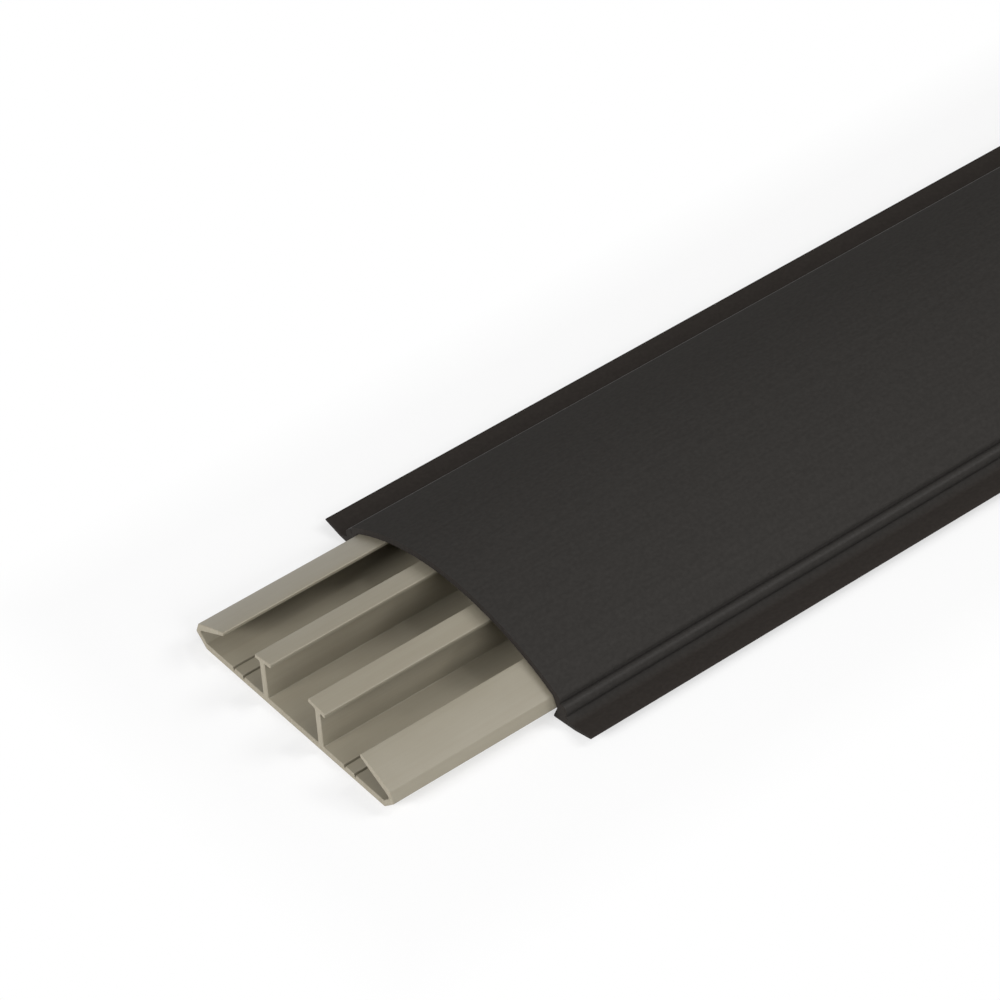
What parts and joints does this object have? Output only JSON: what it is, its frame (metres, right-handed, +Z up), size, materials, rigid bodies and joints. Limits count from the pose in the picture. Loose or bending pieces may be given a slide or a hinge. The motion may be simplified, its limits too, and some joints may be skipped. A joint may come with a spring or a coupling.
{
  "type": "floor cable cover",
  "caption": "Low arched floor cable cover: black cover with side wings snapped over a grey channel base divided lengthwise for cables.",
  "frame": {"origin": "middle of the underside of the whole part's bounding box, on the floor", "axes": "+X along the length, from the end where the base shows towards the end where the cover overhangs; +Y across, +Z up from the floor"},
  "size_m": [2.046, 0.099, 0.0175],
  "materials": {
    "grey_pvc": "satin, as extruded, warm grey",
    "black_pvc": "fine matt, as extruded, black"
  },
  "bodies": {
    "root": {"base_channel": "grey_pvc", "snap_cover": "black_pvc"}
  },
  "joints": []
}
